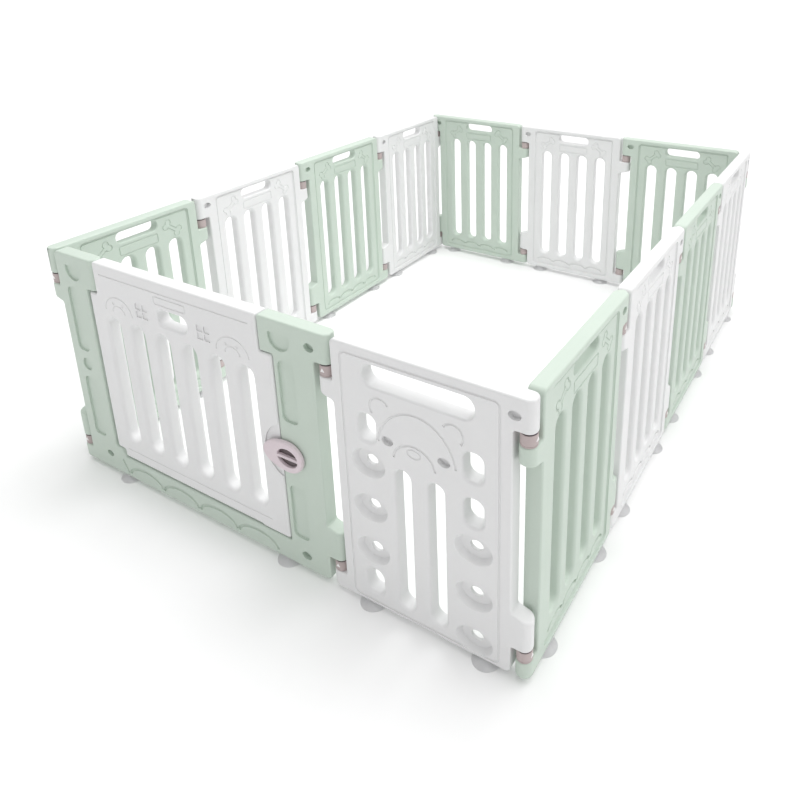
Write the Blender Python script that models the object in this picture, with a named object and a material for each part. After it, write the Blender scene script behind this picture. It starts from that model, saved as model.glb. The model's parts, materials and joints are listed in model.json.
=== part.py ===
"""A folding playpen: eleven fence panels, an activity panel and a gate, hinged together in a closed ring.

Metres, +Z up. The origin is on the floor at the middle of the pen. The gate is in the front side, at -Y.
Seen from outside, every panel carries its upper knuckles on its right end and its lower knuckles on its left.
"""

import math

import bmesh
import bpy
from mathutils import Vector

# Driving dimensions.
PITCH = 0.430  # from one hinge axis to the next
FRONT_PITCHES = 3  # front and back sides, in pitches
SIDE_PITCHES = 4  # left and right sides, in pitches
PANEL_HEIGHT = 0.600
THICKNESS = 0.034
HINGE_GAP = 0.044  # between the bodies of two neighbouring panels, the hinge axis in its middle
FOOT_HEIGHT = 0.015  # from the floor to a panel's bottom edge
FOOT_RADIUS = 0.030
FOOT_RIM = 0.007  # height of the foot's wide rim
NECK_RADIUS = 0.014  # of the foot's neck
FOOT_INSET = 0.058  # from the end of a fence panel's body to the middle of its foot
CLEARANCE = 0.0003  # between pieces that touch
RUNNING_GAP = 0.003  # round the gate leaf

# Hinge stations, as heights above a panel's bottom edge.
TOP_KNUCKLE_HEIGHT = 0.066
LOWER_STATION_TOP = 0.134  # of the upper knuckle of the lower station, at the axis
LOWER_STATION_JOINT = 0.064  # its underside
COLLAR_HEIGHT = 0.024
COLLAR_SLACK = 0.002  # above a collar
LOWER_KNUCKLE_HEIGHT = 0.036
KNUCKLE_SLOPE = 0.35  # rise of a knuckle's slanting end per length
PIN_RADIUS = 0.006
PIN_PLAY = 0.0010  # radial, in the collar and in the socket
PIN_REACH = 0.018  # of the pin into the lower knuckle
SOCKET_SPARE = 0.004  # of the socket beyond the pin's tip
KNUCKLE_STEP = 0.0005  # of a knuckle's faces inside those of its panel's body
COLLAR_WALL_INSET = 0.0008  # of the collar's radius inside the knuckle's

# Fence panel. A drop is measured down from the top edge, a bottom up from the bottom edge.
CORNER_RADIUS = 0.012
FENCE_SLOTS = 4
FENCE_MARGIN = 0.0605  # of the body beside the outer slots
FENCE_BAR = 0.0363  # width of the bars between the slots
FENCE_SLOT_BOTTOM = 0.066
FENCE_SLOT_DROP = 0.093
FENCE_HANDLE = (0.124, 0.030)  # width and height
FENCE_HANDLE_DROP = 0.033  # of its middle

# Activity panel. The width beside the two columns of dishes is shared by the four amounts that follow.
COLUMN_MARGIN = 0.039  # of the body outside a column
COLUMN_SPACE = 0.023  # from a column to a slot
ACTIVITY_SLOT = 0.036  # width of a slot
ACTIVITY_BAR = 0.038  # between the two slots
ACTIVITY_SLOT_BOTTOM = 0.030
ACTIVITY_SLOT_DROP = 0.238
ACTIVITY_HANDLE_MARGIN = 0.073  # of the body beside the handle
ACTIVITY_HANDLE_HEIGHT = 0.046
ACTIVITY_HANDLE_DROP = 0.054
DISH_SIZE = (0.076, 0.056)
DISH_DEPTH = 0.013
DISH_FLOOR_SHARE = 0.72  # of the floor's size in the mouth's
DISH_HOLE_SIZE = (0.025, 0.020)
WINDOW_SIZE = (0.042, 0.060)
WINDOW_CORNER_SHARE = 0.45  # of a window's corner radius in its width
COLUMN_DROP = 0.171  # of the middle of a column's highest opening
LEFT_COLUMN = ("window", "dish", "dish", "dish", "window")
RIGHT_COLUMN = ("window", "window", "dish", "dish", "dish")
LEFT_COLUMN_BOTTOM = 0.061  # of the middle of its lowest opening
RIGHT_COLUMN_BOTTOM = 0.036
SPACE_SHARES = {"window window": 3.6, "window dish": 2.2, "dish window": 2.2, "dish dish": 5.1}

# Gate.
GATE_FOOT_INSET = 0.133
POST_WIDTH = 0.108
HEAD_REACH = 0.035  # of the latch post's head over the leaf
HEAD_HEIGHT = 0.080
RAIL_HEIGHT = 0.058
BLOCK_RISE = 0.023  # of the block under the leaf's pivot, above the rail
SWING_GAP = 0.002  # between the leaf, swung open, and the head and block about its pivot
LEAF_SLOTS = 6
LEAF_MARGIN = 0.060
LEAF_BAR = 0.042
LEAF_SLOT_BOTTOM = 0.122
LEAF_SLOT_DROP = 0.134
LEAF_HOLE = (0.098, 0.040)
LEAF_HOLE_DROP = 0.087
PIVOT_RADIUS = 0.005
PIVOT_LENGTH = 0.040
PIVOT_PLAY = 0.0008
LATCH_HEIGHT = 0.290
LATCH_FROM_POST_EDGE = 0.023  # of the knob's axis, into the post
LATCH_RADII = (0.043, 0.033)  # of the knob's round end, along and across the nose
LATCH_NOSE = 0.074  # from the knob's axis to the tip of its nose
LATCH_THICKNESS = 0.0115
LATCH_RECESS_DEPTH = 0.003
SPINDLE_RADIUS = 0.009
SPINDLE_PLAY = 0.0008
SPINDLE_SHORT = 0.002  # of the spindle's end inside the frame's inner face
RETAINER_RADIUS = 0.020
RETAINER_THICKNESS = 0.005

# How finely round shapes are cut, as segments of a full circle.
ARC_SEGMENTS = 12
PIN_SEGMENTS = 10
FOOT_SEGMENTS = 14
COLLAR_SEGMENTS = 16
LATCH_SEGMENTS = 32
SMOOTH_ANGLE = math.radians(35)  # between faces shaded as one

HALF_GAP = HINGE_GAP / 2
HALF_THICKNESS = THICKNESS / 2
KNUCKLE_RADIUS = HALF_THICKNESS - KNUCKLE_STEP
OVERLAP = 0.006  # of pieces that are joined, so that a union has something to hold
BEYOND = 0.01  # of a cutter past the surface it starts from
TOP_KNUCKLE_BOTTOM = PANEL_HEIGHT - TOP_KNUCKLE_HEIGHT
GATE_WIDTH = 2 * PITCH  # between the gate frame's two hinge axes
POST_EDGE = HALF_GAP + POST_WIDTH  # of a post's inner edge from its hinge axis
HEAD_BOTTOM = PANEL_HEIGHT - HEAD_HEIGHT
BLOCK_TOP = RAIL_HEIGHT + BLOCK_RISE
LEAF_LEFT = POST_EDGE + RUNNING_GAP
PIVOT_X = LEAF_LEFT + KNUCKLE_RADIUS
LATCH_X = GATE_WIDTH - POST_EDGE + LATCH_FROM_POST_EDGE


def clear_scene():
    for obj in list(bpy.data.objects):
        bpy.data.objects.remove(obj, do_unlink=True)


def make_material(name, colour, roughness):
    material = bpy.data.materials.new(name)
    material.use_nodes = True
    shader = material.node_tree.nodes["Principled BSDF"]
    shader.inputs["Base Color"].default_value = (*colour, 1.0)
    shader.inputs["Roughness"].default_value = roughness
    shader.inputs["Metallic"].default_value = 0.0
    material.diffuse_color = (*colour, 1.0)
    return material


# Outlines: lists of (x, z) points, anticlockwise.


def arc(centre, radii, start, end, segments=ARC_SEGMENTS):
    """Points on an arc from one angle to another, in degrees."""
    steps = max(1, round(abs(end - start) / 360 * segments))
    angles = [math.radians(start + (end - start) * i / steps) for i in range(steps + 1)]
    return [(centre[0] + radii[0] * math.cos(a), centre[1] + radii[1] * math.sin(a)) for a in angles]


def rounded_box(left, bottom, right, top, radius, segments=ARC_SEGMENTS):
    radii = (radius, radius)
    return (
        arc((right - radius, bottom + radius), radii, -90, 0, segments)
        + arc((right - radius, top - radius), radii, 0, 90, segments)
        + arc((left + radius, top - radius), radii, 90, 180, segments)
        + arc((left + radius, bottom + radius), radii, 180, 270, segments)
    )


def upright_slot(middle, bottom, top, width):
    radius = width / 2
    upper = arc((middle, top - radius), (radius, radius), 0, 180)
    lower = arc((middle, bottom + radius), (radius, radius), 180, 360)
    return upper + lower


def level_slot(middle, height, size):
    width, tall = size
    radius = tall / 2
    right = arc((middle + width / 2 - radius, height), (radius, radius), -90, 90)
    left = arc((middle - width / 2 + radius, height), (radius, radius), 90, 270)
    return right + left


def window(middle, height):
    width, tall = WINDOW_SIZE
    left, bottom = middle - width / 2, height - tall / 2
    return rounded_box(left, bottom, left + width, bottom + tall, width * WINDOW_CORNER_SHARE)


def ellipse(centre, size, segments=ARC_SEGMENTS):
    return arc(centre, (size[0] / 2, size[1] / 2), 0, 360, segments)[:-1]


# Solids.


def as_object(name, mesh):
    obj = bpy.data.objects.new(name, mesh)
    bpy.context.scene.collection.objects.link(obj)
    return obj


def flat_mesh(outlines, depth):
    """Flat plates in the XZ plane, one for each outline, centred on Y = 0."""
    curve = bpy.data.curves.new("outline", "CURVE")
    curve.dimensions = "2D"
    curve.fill_mode = "BOTH"
    curve.extrude = depth / 2
    for outline in outlines:
        spline = curve.splines.new("POLY")
        spline.points.add(len(outline) - 1)
        for point, (x, z) in zip(spline.points, outline):
            point.co = (x, z, 0.0, 1.0)
        spline.use_cyclic_u = True
    holder = as_object("outline", curve)
    graph = bpy.context.evaluated_depsgraph_get()
    mesh = bpy.data.meshes.new_from_object(holder.evaluated_get(graph))
    bpy.data.objects.remove(holder, do_unlink=True)
    bpy.data.curves.remove(curve)
    work = bmesh.new()
    work.from_mesh(mesh)
    bmesh.ops.remove_doubles(work, verts=work.verts, dist=1e-6)
    for vert in work.verts:
        vert.co = Vector((vert.co.x, -vert.co.z, vert.co.y))
    bmesh.ops.recalc_face_normals(work, faces=work.faces)
    work.to_mesh(mesh)
    work.free()
    return mesh


def cylinder(centre, radius, bottom, top, segments, top_radius=None):
    """An upright cylinder, or a cone, at centre (x, y)."""
    work = bmesh.new()
    bmesh.ops.create_cone(
        work,
        cap_ends=True,
        segments=segments,
        radius1=radius,
        radius2=radius if top_radius is None else top_radius,
        depth=top - bottom,
    )
    bmesh.ops.translate(work, verts=work.verts, vec=(*centre, (bottom + top) / 2))
    mesh = bpy.data.meshes.new("cylinder")
    work.to_mesh(mesh)
    work.free()
    return as_object("cylinder", mesh)


def turned_to_front(obj):
    """Swings an upright solid round the X axis, so that its top points at -Y."""
    for vert in obj.data.vertices:
        x, y, z = vert.co
        vert.co = (x, -z, y)
    return obj


def changed(base, others, operation):
    """Joins the other solids to base, or cuts them from it, and removes them."""
    for other in others:
        modifier = base.modifiers.new(operation.lower(), "BOOLEAN")
        modifier.operation = operation
        modifier.solver = "EXACT"
        modifier.object = other
    graph = bpy.context.evaluated_depsgraph_get()
    mesh = bpy.data.meshes.new_from_object(base.evaluated_get(graph))
    base.modifiers.clear()
    base.data = mesh
    for other in others:
        bpy.data.objects.remove(other, do_unlink=True)
    return base


def knuckle(axis_x, side, bottom, top, slope_bottom=0.0, slope_top=0.0):
    """A knuckle with a round end about the axis. side is +1 where the panel's body lies at +X of the axis."""
    root = (HALF_GAP + OVERLAP) * side
    turn = arc((0, 0), (KNUCKLE_RADIUS, KNUCKLE_RADIUS), 90, 270)
    plan = [(x * side, y) for x, y in turn] + [(root, -KNUCKLE_RADIUS), (root, KNUCKLE_RADIUS)]
    if side < 0:
        plan.reverse()
    mesh = flat_mesh([plan], top - bottom)
    for vert in mesh.vertices:
        x, height, y = vert.co
        at_top = height > 0
        along = max(x * side, -KNUCKLE_RADIUS)
        z = top + slope_top * along if at_top else bottom - slope_bottom * along
        vert.co = (axis_x + x, y, FOOT_HEIGHT + z)
    work = bmesh.new()
    work.from_mesh(mesh)
    bmesh.ops.recalc_face_normals(work, faces=work.faces)
    work.to_mesh(mesh)
    work.free()
    return as_object("knuckle", mesh)


def pin(axis_x, underside):
    """The pin under an upper knuckle, which reaches through the collar into the socket below."""
    tip = underside - COLLAR_SLACK - COLLAR_HEIGHT - PIN_REACH
    return cylinder(
        (axis_x, 0), PIN_RADIUS, FOOT_HEIGHT + tip, FOOT_HEIGHT + underside + OVERLAP, PIN_SEGMENTS
    )


def socket(axis_x, mouth):
    floor = mouth - PIN_REACH - SOCKET_SPARE
    return cylinder(
        (axis_x, 0), PIN_RADIUS + PIN_PLAY, FOOT_HEIGHT + floor, FOOT_HEIGHT + mouth + BEYOND, PIN_SEGMENTS
    )


def collar_seat(underside):
    """The height of the lower knuckle's top face, under the collar."""
    return underside - COLLAR_SLACK - COLLAR_HEIGHT - CLEARANCE


def add_hinges_and_feet(panel, right_axis, foot_inset=FOOT_INSET):
    """Adds the lower knuckles at x = 0, the upper knuckles and pins at the right axis, and both feet."""
    stations = (TOP_KNUCKLE_BOTTOM, LOWER_STATION_JOINT)
    upper_seat, lower_seat = (collar_seat(underside) for underside in stations)
    joined = [
        knuckle(right_axis, -1, TOP_KNUCKLE_BOTTOM, PANEL_HEIGHT - KNUCKLE_STEP),
        knuckle(right_axis, -1, LOWER_STATION_JOINT, LOWER_STATION_TOP, slope_top=KNUCKLE_SLOPE),
        knuckle(0.0, 1, upper_seat - LOWER_KNUCKLE_HEIGHT, upper_seat, slope_bottom=KNUCKLE_SLOPE),
        knuckle(0.0, 1, KNUCKLE_STEP, lower_seat),
    ]
    joined += [pin(right_axis, underside) for underside in stations]
    for x in (HALF_GAP + foot_inset, right_axis - HALF_GAP - foot_inset):
        joined.append(cylinder((x, 0), FOOT_RADIUS, 0.0, FOOT_RIM, FOOT_SEGMENTS))
        joined.append(cylinder((x, 0), NECK_RADIUS, 0.0, FOOT_HEIGHT + OVERLAP, FOOT_SEGMENTS))
    changed(panel, joined, "UNION")
    return changed(panel, [socket(0.0, upper_seat), socket(0.0, lower_seat)], "DIFFERENCE")


def plate(outline, holes=()):
    """A panel's flat body, standing on its bottom edge's height, with its through-holes cut."""

    def raised(points):
        return [(x, z + FOOT_HEIGHT) for x, z in points]

    body = as_object("plate", flat_mesh([raised(outline)], THICKNESS))
    if not holes:
        return body
    cutter = as_object("holes", flat_mesh([raised(hole) for hole in holes], THICKNESS + 2 * BEYOND))
    return changed(body, [cutter], "DIFFERENCE")


def slots_between(left, right, count, bar, bottom, top):
    """A row of upright slots that fills the space from left to right, with bars between them."""
    width = (right - left - (count - 1) * bar) / count
    return [
        upright_slot(left + width / 2 + i * (width + bar), bottom, top, width) for i in range(count)
    ]


def body_outline():
    return rounded_box(HALF_GAP, 0.0, PITCH - HALF_GAP, PANEL_HEIGHT, CORNER_RADIUS)


def fence_panel():
    left, right = HALF_GAP + FENCE_MARGIN, PITCH - HALF_GAP - FENCE_MARGIN
    top = PANEL_HEIGHT - FENCE_SLOT_DROP
    holes = slots_between(left, right, FENCE_SLOTS, FENCE_BAR, FENCE_SLOT_BOTTOM, top)
    holes.append(level_slot(PITCH / 2, PANEL_HEIGHT - FENCE_HANDLE_DROP, FENCE_HANDLE))
    return add_hinges_and_feet(plate(body_outline(), holes), PITCH)


def dish_cutter(x, height):
    """A shallow oval dish in the front face."""
    front = HALF_THICKNESS
    cutter = cylinder((0, 0), DISH_FLOOR_SHARE, -DISH_DEPTH, 0.0, 2 * ARC_SEGMENTS, top_radius=1.0)
    for vert in cutter.data.vertices:
        top = vert.co.z > -DISH_DEPTH / 2
        across, up = vert.co.x * DISH_SIZE[0] / 2, vert.co.y * DISH_SIZE[1] / 2
        depth = front + (BEYOND if top else -DISH_DEPTH)
        grow = 1 + BEYOND / DISH_DEPTH * (1 - DISH_FLOOR_SHARE) if top else 1.0
        vert.co = (x + across * grow, -depth, FOOT_HEIGHT + height + up * grow)
    return cutter


def column_heights(kinds, top, bottom):
    """Heights of a column's openings, whose spaces share what their own heights leave."""
    tall = {"window": WINDOW_SIZE[1], "dish": DISH_SIZE[1]}
    shares = [SPACE_SHARES[f"{upper} {lower}"] for upper, lower in zip(kinds, kinds[1:])]
    steps = [(tall[upper] + tall[lower]) / 2 for upper, lower in zip(kinds, kinds[1:])]
    spare = (top - bottom - sum(steps)) / sum(shares)
    heights = [top]
    for step, share in zip(steps, shares):
        heights.append(heights[-1] - step - share * spare)
    return heights


def activity_panel():
    middle = PITCH / 2
    parts = 2 * (COLUMN_MARGIN + COLUMN_SPACE + ACTIVITY_SLOT) + ACTIVITY_BAR
    share = (PITCH - HINGE_GAP - 2 * DISH_SIZE[0]) / parts
    offset = middle - HALF_GAP - COLUMN_MARGIN * share - DISH_SIZE[0] / 2
    reach = (ACTIVITY_SLOT + ACTIVITY_BAR / 2) * share
    slot_top = PANEL_HEIGHT - ACTIVITY_SLOT_DROP
    holes = slots_between(
        middle - reach, middle + reach, 2, ACTIVITY_BAR * share, ACTIVITY_SLOT_BOTTOM, slot_top
    )
    handle = (PITCH - HINGE_GAP - 2 * ACTIVITY_HANDLE_MARGIN, ACTIVITY_HANDLE_HEIGHT)
    holes.append(level_slot(middle, PANEL_HEIGHT - ACTIVITY_HANDLE_DROP, handle))
    dishes = []
    columns = ((-1, LEFT_COLUMN, LEFT_COLUMN_BOTTOM), (1, RIGHT_COLUMN, RIGHT_COLUMN_BOTTOM))
    for side, kinds, bottom in columns:
        x = middle + side * offset
        for kind, height in zip(kinds, column_heights(kinds, PANEL_HEIGHT - COLUMN_DROP, bottom)):
            if kind == "window":
                holes.append(window(x, height))
            else:
                holes.append(ellipse((x, height), DISH_HOLE_SIZE))
                dishes.append(dish_cutter(x, height))
    panel = changed(plate(body_outline(), holes), dishes, "DIFFERENCE")
    return add_hinges_and_feet(panel, PITCH)


def pivot_bores(lower_seat, upper_seat, below, above, radius):
    """Upright bores on the leaf's pivot axis, which reach below and above each seat."""
    return [
        cylinder((PIVOT_X, 0), radius, FOOT_HEIGHT + seat - down, FOOT_HEIGHT + seat + up, PIN_SEGMENTS)
        for seat, down, up in ((lower_seat, below, above), (upper_seat, above, below))
    ]


def across_latch_axis(radius, near, far, segments):
    """A cylinder on the latch's axis, from one depth to another. Depths grow towards the outside."""
    solid = turned_to_front(cylinder((0, 0), radius, near, far, segments))
    for vert in solid.data.vertices:
        vert.co += Vector((LATCH_X, 0.0, FOOT_HEIGHT + LATCH_HEIGHT))
    return solid


def gate_frame():
    corner = (CORNER_RADIUS, CORNER_RADIUS)
    left, right = HALF_GAP + CORNER_RADIUS, GATE_WIDTH - HALF_GAP - CORNER_RADIUS
    top = PANEL_HEIGHT - CORNER_RADIUS
    far_post = GATE_WIDTH - POST_EDGE
    far_head = far_post - HEAD_REACH
    barrel_root = PIVOT_X - OVERLAP
    outline = (
        arc((left, CORNER_RADIUS), corner, 180, 270)
        + arc((right, CORNER_RADIUS), corner, 270, 360)
        + arc((right, top), corner, 0, 90)
        + [(far_head, PANEL_HEIGHT), (far_head, HEAD_BOTTOM), (far_post, HEAD_BOTTOM)]
        + [(far_post, RAIL_HEIGHT), (barrel_root, RAIL_HEIGHT), (barrel_root, BLOCK_TOP)]
        + [(POST_EDGE, BLOCK_TOP), (POST_EDGE, HEAD_BOTTOM), (barrel_root, HEAD_BOTTOM)]
        + [(barrel_root, PANEL_HEIGHT)]
        + arc((left, top), corner, 90, 180)
    )
    barrels = [
        knuckle(PIVOT_X, -1, HEAD_BOTTOM + KNUCKLE_STEP, PANEL_HEIGHT - KNUCKLE_STEP),
        knuckle(PIVOT_X, -1, RAIL_HEIGHT - OVERLAP, BLOCK_TOP - KNUCKLE_STEP),
    ]
    body = changed(plate(outline), barrels, "UNION")
    frame = add_hinges_and_feet(body, GATE_WIDTH, GATE_FOOT_INSET)
    depth = PIVOT_LENGTH / 2 + CLEARANCE
    cutters = pivot_bores(BLOCK_TOP, HEAD_BOTTOM, depth, BEYOND, PIVOT_RADIUS + CLEARANCE)
    beyond = HALF_THICKNESS + BEYOND
    cutters.append(across_latch_axis(SPINDLE_RADIUS + SPINDLE_PLAY, -beyond, beyond, ARC_SEGMENTS))
    return changed(frame, cutters, "DIFFERENCE")


def gate_leaf():
    """The leaf, in the gate frame's coordinates. Its left edge is round about the pivot axis."""
    right = GATE_WIDTH - LEAF_LEFT
    narrow_left = PIVOT_X + HALF_THICKNESS + SWING_GAP
    narrow_right = right - HEAD_REACH
    shoulder = HEAD_BOTTOM - RUNNING_GAP
    bottom = RAIL_HEIGHT + RUNNING_GAP
    notch = (narrow_left, BLOCK_TOP + RUNNING_GAP)
    outline = [
        (notch[0], bottom),
        (right, bottom),
        (right, shoulder),
        (narrow_right, shoulder),
        (narrow_right, PANEL_HEIGHT),
        (narrow_left, PANEL_HEIGHT),
        (narrow_left, shoulder),
        (PIVOT_X + OVERLAP, shoulder),
        (PIVOT_X + OVERLAP, notch[1]),
        notch,
    ]
    slot_top = PANEL_HEIGHT - LEAF_SLOT_DROP
    holes = slots_between(
        LEAF_LEFT + LEAF_MARGIN, right - LEAF_MARGIN, LEAF_SLOTS, LEAF_BAR, LEAF_SLOT_BOTTOM, slot_top
    )
    holes.append(level_slot(PITCH, PANEL_HEIGHT - LEAF_HOLE_DROP, LEAF_HOLE))
    edge = knuckle(PIVOT_X, 1, notch[1] + KNUCKLE_STEP, shoulder - KNUCKLE_STEP)
    leaf = changed(plate(outline, holes), [edge], "UNION")
    depth = PIVOT_LENGTH / 2 + 2 * CLEARANCE
    cutters = pivot_bores(notch[1], shoulder, BEYOND, depth, PIVOT_RADIUS + PIVOT_PLAY)
    floor = HALF_THICKNESS - LATCH_RECESS_DEPTH
    sweep = LATCH_NOSE + RUNNING_GAP
    cutters.append(across_latch_axis(sweep, floor, HALF_THICKNESS + BEYOND, 2 * LATCH_SEGMENTS))
    return changed(leaf, cutters, "DIFFERENCE")


def egg_outline():
    """The knob's outline about its own axis, with its nose towards -X."""
    along, across = LATCH_RADII
    round_end = arc((0, 0), (along, across), -90, 90, LATCH_SEGMENTS)
    nose = arc((0, 0), (LATCH_NOSE, across), 90, 270, LATCH_SEGMENTS)[1:-1]
    return round_end + nose


def latch_knob():
    knob = as_object("knob", flat_mesh([egg_outline()], LATCH_THICKNESS))
    back = HALF_THICKNESS + 2 * CLEARANCE
    for vert in knob.data.vertices:
        vert.co.y -= back + LATCH_THICKNESS / 2
    spindle = turned_to_front(
        cylinder((0, 0), SPINDLE_RADIUS, SPINDLE_SHORT - HALF_THICKNESS, back + OVERLAP, ARC_SEGMENTS)
    )
    return changed(knob, [spindle], "UNION")


def latch_retainer():
    """A round cap in the inner face that keeps the spindle in its hole."""
    start = HALF_THICKNESS + CLEARANCE
    return turned_to_front(
        cylinder((0, 0), RETAINER_RADIUS, -start - RETAINER_THICKNESS, -start, 2 * ARC_SEGMENTS)
    )


def pivot_pin():
    """A pin about its own middle."""
    return cylinder((0, 0), PIVOT_RADIUS, -PIVOT_LENGTH / 2, PIVOT_LENGTH / 2, PIN_SEGMENTS)


def collar():
    """A bush standing on the floor of its own frame, with the pin's bore."""
    ring = cylinder((0, 0), KNUCKLE_RADIUS - COLLAR_WALL_INSET, 0.0, COLLAR_HEIGHT, COLLAR_SEGMENTS)
    bore = cylinder((0, 0), PIN_RADIUS + PIN_PLAY, -BEYOND, COLLAR_HEIGHT + BEYOND, PIN_SEGMENTS)
    return changed(ring, [bore], "DIFFERENCE")


# Layout.


def ring_of_panels():
    """(name, pitches wide, start x, start y, heading in degrees) for each panel, anticlockwise."""
    sides = (
        (0, [("gate_frame", 2), ("activity_panel", 1)]),
        (90, [(f"fence_right_{i + 1}", 1) for i in range(SIDE_PITCHES)]),
        (180, [(f"fence_back_{i + 1}", 1) for i in reversed(range(FRONT_PITCHES))]),
        (270, [(f"fence_left_{i + 1}", 1) for i in reversed(range(SIDE_PITCHES))]),
    )
    x, y = -FRONT_PITCHES * PITCH / 2, -SIDE_PITCHES * PITCH / 2
    placed = []
    for heading, panels in sides:
        step = Vector((round(math.cos(math.radians(heading))), round(math.sin(math.radians(heading)))))
        for name, pitches in panels:
            placed.append((name, pitches, x, y, heading))
            x += step.x * pitches * PITCH
            y += step.y * pitches * PITCH
    return placed


def main():
    clear_scene()
    green = make_material("sage plastic", (0.57, 0.68, 0.60), 0.42)
    white = make_material("white plastic", (0.86, 0.86, 0.86), 0.40)
    mauve = make_material("mauve plastic", (0.60, 0.49, 0.50), 0.38)
    steel = make_material("pin steel", (0.55, 0.55, 0.56), 0.35)
    pen = bpy.data.collections.new("playpen")
    bpy.context.scene.collection.children.link(pen)

    def finished(source, material):
        """Takes a solid out of the scene and keeps its mesh, shaded and in its material."""
        mesh = source.data
        bpy.data.objects.remove(source, do_unlink=True)
        mesh.materials.clear()
        mesh.materials.append(material)
        mesh.shade_smooth()
        mesh.set_sharp_from_angle(angle=SMOOTH_ANGLE)
        return mesh

    def place(name, mesh, parent, location, turn=0.0):
        obj = bpy.data.objects.new(name, mesh)
        pen.objects.link(obj)
        obj.parent = parent
        obj.location = location
        obj.rotation_euler = (0.0, 0.0, math.radians(turn))
        return obj

    fence = {
        "green": finished(fence_panel(), green),
        "white": finished(fence_panel(), white),
    }
    meshes = {
        "gate_frame": finished(gate_frame(), green),
        "activity_panel": finished(activity_panel(), white),
    }
    collar_mesh = finished(collar(), mauve)
    seats = (("upper", TOP_KNUCKLE_BOTTOM), ("lower", LOWER_STATION_JOINT))
    for name, pitches, x, y, heading in ring_of_panels():
        hinge = bpy.data.objects.new(f"hinge of {name}", None)
        pen.objects.link(hinge)
        hinge.location = (x, y, 0.0)
        hinge.rotation_euler = (0.0, 0.0, math.radians(heading))
        number = int(name[-1]) if name[-1].isdigit() else 0
        colour = "green" if number % 2 else "white"
        place(name, meshes.get(name) or fence[colour], hinge, (0, 0, 0))
        for station, underside in seats:
            seat = FOOT_HEIGHT + collar_seat(underside) + CLEARANCE
            place(f"collar_{station}_{name}", collar_mesh, hinge, (0, 0, seat))
        if name != "gate_frame":
            continue
        place("gate_leaf", finished(gate_leaf(), white), hinge, (0, 0, 0))
        latch_axis = (LATCH_X, 0, FOOT_HEIGHT + LATCH_HEIGHT)
        place("latch_knob", finished(latch_knob(), mauve), hinge, latch_axis)
        place("latch_retainer", finished(latch_retainer(), mauve), hinge, latch_axis)
        pin_mesh = finished(pivot_pin(), steel)
        place("gate_pivot_top", pin_mesh, hinge, (PIVOT_X, 0, FOOT_HEIGHT + HEAD_BOTTOM))
        place("gate_pivot_bottom", pin_mesh, hinge, (PIVOT_X, 0, FOOT_HEIGHT + BLOCK_TOP))


main()
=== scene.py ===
"""The looks of a folding playpen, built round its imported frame.

Metres, +Z up. A panel is modelled once, lying along +X from its left hinge axis with its outer face
towards -Y, and its copies are turned and moved to their own hinge axes.
"""

import math

import bmesh
import bpy
from mathutils import Matrix, Vector
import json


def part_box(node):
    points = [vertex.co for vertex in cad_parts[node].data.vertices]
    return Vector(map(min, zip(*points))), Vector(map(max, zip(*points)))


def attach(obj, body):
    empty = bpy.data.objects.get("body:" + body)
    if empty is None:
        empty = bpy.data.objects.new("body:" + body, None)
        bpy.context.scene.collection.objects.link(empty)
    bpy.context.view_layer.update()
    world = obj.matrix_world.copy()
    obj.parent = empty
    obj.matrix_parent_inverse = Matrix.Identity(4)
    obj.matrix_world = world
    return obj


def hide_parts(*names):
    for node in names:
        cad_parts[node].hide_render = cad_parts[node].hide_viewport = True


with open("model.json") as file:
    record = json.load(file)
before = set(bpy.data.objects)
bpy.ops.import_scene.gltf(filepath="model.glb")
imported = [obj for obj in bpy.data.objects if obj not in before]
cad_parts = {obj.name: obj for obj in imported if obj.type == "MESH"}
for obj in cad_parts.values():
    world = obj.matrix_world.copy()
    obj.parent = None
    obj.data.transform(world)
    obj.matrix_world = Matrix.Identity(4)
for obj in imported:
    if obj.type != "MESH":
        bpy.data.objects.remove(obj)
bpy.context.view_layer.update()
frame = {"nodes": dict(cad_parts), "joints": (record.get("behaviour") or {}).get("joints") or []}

# Sizes taken from the frame.
joint_at = {joint["name"]: Vector(joint["pos_m"]) for joint in frame["joints"]}
PITCH = (joint_at["hinge_left_1_2"] - joint_at["hinge_left_2_3"]).length
leaf_low, leaf_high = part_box("gate_leaf")
THICKNESS = leaf_high[1] - leaf_low[1]
HALF_THICKNESS = THICKNESS / 2
TOP = leaf_high[2]
gate_axis = joint_at["hinge_front_left"]
LATCH_X = joint_at["latch_turn"].x - gate_axis.x
LATCH_Z = joint_at["latch_turn"].z
PIVOT_X = joint_at["gate_swing"].x - gate_axis.x
collar_low, collar_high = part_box("collar_upper_gate_frame")
UPPER_SEAT = collar_low[2]
LOWER_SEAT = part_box("collar_lower_gate_frame")[0][2]
COLLAR_HEIGHT = collar_high[2] - collar_low[2]

# Sizes of the panels, with heights above the floor.
FOOT_HEIGHT = 0.015
HALF_GAP = 0.022  # from a hinge axis to the panel's body
KNUCKLE_RADIUS = 0.0165
SEAT_GAP = 0.0003  # under a collar
COLLAR_SLACK = 0.002  # above a collar
KNUCKLE_RISE = 0.010  # of a slanting knuckle face from the round end to the body
CORNER = 0.012
EDGE = 0.0042  # rounding of a panel's edges
SLOT_EDGE = 0.0085  # rounding of the mouths of the upright slots
FIELD = 0.0036  # depth of the sunk field inside a fence panel's rim
FINE_LINE, LINE, BOLD_LINE = 0.0019, 0.0028, 0.0044  # radii of the moulded lines
HANGER_HEIGHT = 0.046  # of the knuckle under an upper collar
BLOCK_HEIGHT = 0.080  # of the slanting knuckle above a lower collar
PIN_RADIUS = 0.006
SOCKET_RADIUS = 0.0074
PLUG_DEPTH = 0.010  # of the small oval holes above the hinges
PLUG_INSET = 0.019  # of their middle from the hinge axis
PAST = 0.01  # how far a cutter reaches past a face
PARTING_HEIGHT = 0.30  # of the level line that parts the wide faces
FOOT_INSET = 0.080  # of a suction cup from a hinge axis
GATE_FOOT_INSET = 0.155

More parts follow.
